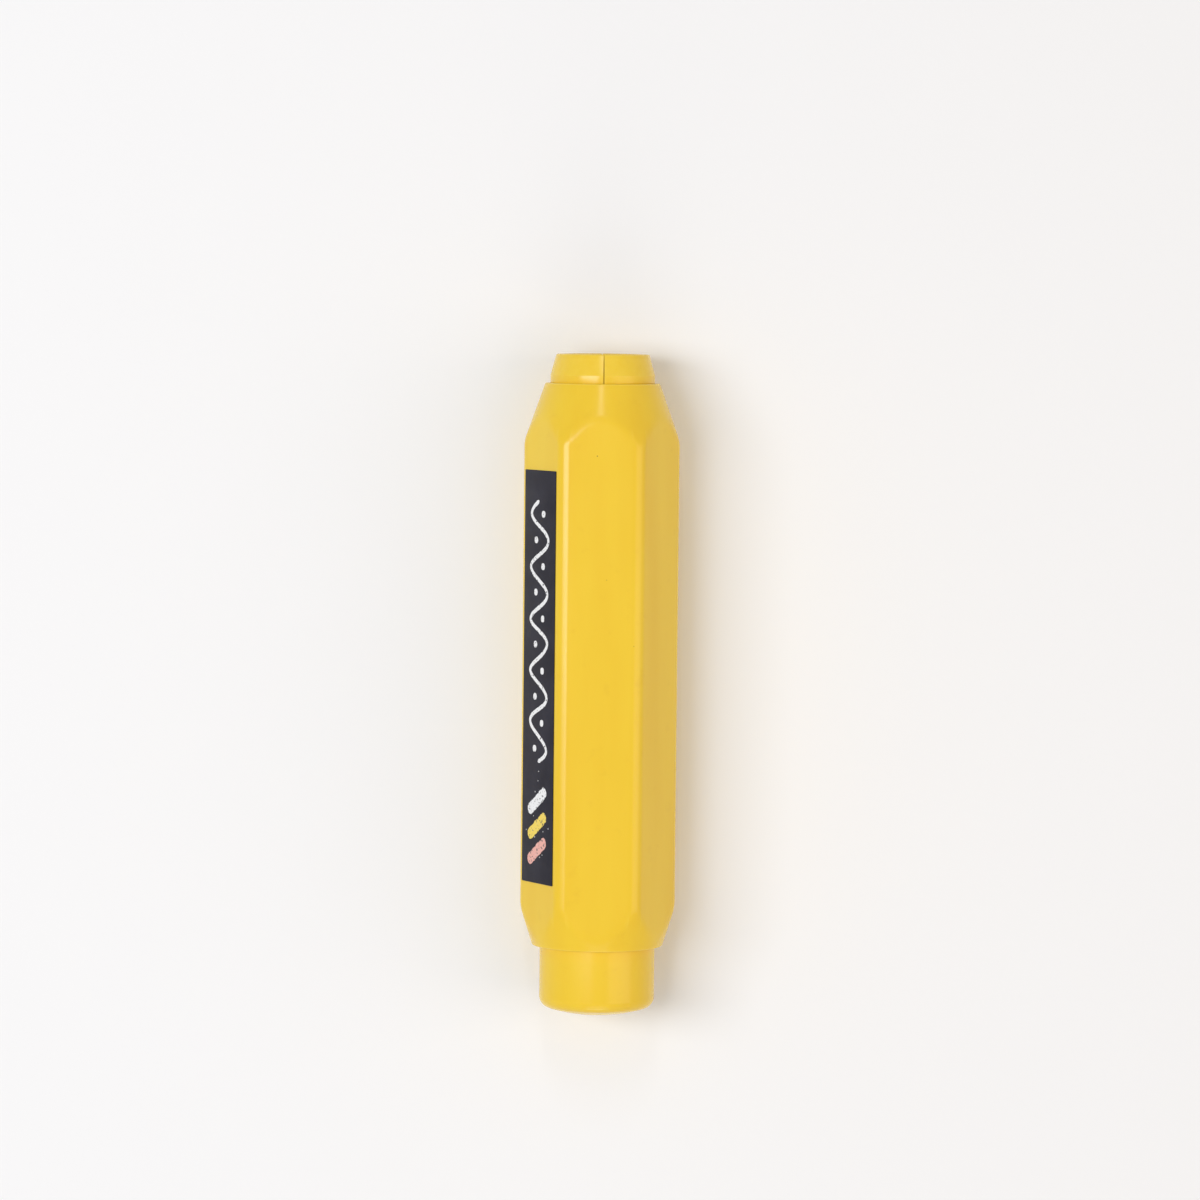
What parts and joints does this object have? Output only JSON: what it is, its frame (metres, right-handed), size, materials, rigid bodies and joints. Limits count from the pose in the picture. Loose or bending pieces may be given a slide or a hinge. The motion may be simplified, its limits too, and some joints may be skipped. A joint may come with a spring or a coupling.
{
  "type": "chalk holder",
  "caption": "Push-button chalk holder: a hexagonal plastic barrel with conical ends, a split collet that grips the stick, a domed tail button on a return spring, and a magnet strip on its back.",
  "frame": {"origin": "on the outer face of the magnet strip, under the axis, at the middle of the overall length", "axes": "+Y along the barrel towards the collet, +Z out of the front facet, +X to the right seen from the front"},
  "size_m": [0.023, 0.098, 0.0208],
  "materials": {
    "yellow_plastic": "glossy moulded",
    "spring_steel": "drawn wire",
    "magnet_rubber": "matte",
    "foam_tape": "matte",
    "label_film": "semi-gloss film"
  },
  "bodies": {
    "barrel": {"barrel": "yellow_plastic", "magnet_strip": "magnet_rubber", "magnet_tape": "foam_tape", "label_film": "label_film", "return_spring": "spring_steel"},
    "plunger": {"push_button": "yellow_plastic", "push_tube": "yellow_plastic", "collet_sleeve": "yellow_plastic"},
    "jaw_1": {"collet_jaw_1": "yellow_plastic"},
    "jaw_2": {"collet_jaw_2": "yellow_plastic"},
    "jaw_3": {"collet_jaw_3": "yellow_plastic"},
    "jaw_4": {"collet_jaw_4": "yellow_plastic"}
  },
  "joints": [
    {"name": "button_press", "type": "slide", "parent": "barrel", "child": "plunger", "axis": [0, 1, 0], "range_m": [0, 0.007], "stiffness_N_per_m": 360, "springref_m": -0.009, "deforming": ["return_spring"]},
    {"name": "jaw_1_open", "type": "hinge", "parent": "plunger", "child": "jaw_1", "pos_m": [-0.00434, 0.02365, 0.01512], "axis": [0.7254, 0, 0.6884], "range_deg": [0, 2.6]},
    {"name": "jaw_2_open", "type": "hinge", "parent": "plunger", "child": "jaw_2", "pos_m": [0.00457, 0.02365, 0.01489], "axis": [0.6884, 0, -0.7254], "range_deg": [0, 2.6]},
    {"name": "jaw_3_open", "type": "hinge", "parent": "plunger", "child": "jaw_3", "pos_m": [0.00434, 0.02365, 0.00598], "axis": [-0.7254, 0, -0.6884], "range_deg": [0, 2.6]},
    {"name": "jaw_4_open", "type": "hinge", "parent": "plunger", "child": "jaw_4", "pos_m": [-0.00457, 0.02365, 0.00621], "axis": [-0.6884, 0, 0.7254], "range_deg": [0, 2.6]}
  ],
  "couplings": [
    {"joint": "jaw_1_open", "follows": "button_press", "rad_per_m": 6.48},
    {"joint": "jaw_2_open", "follows": "button_press", "rad_per_m": 6.48},
    {"joint": "jaw_3_open", "follows": "button_press", "rad_per_m": 6.48},
    {"joint": "jaw_4_open", "follows": "button_press", "rad_per_m": 6.48}
  ]
}
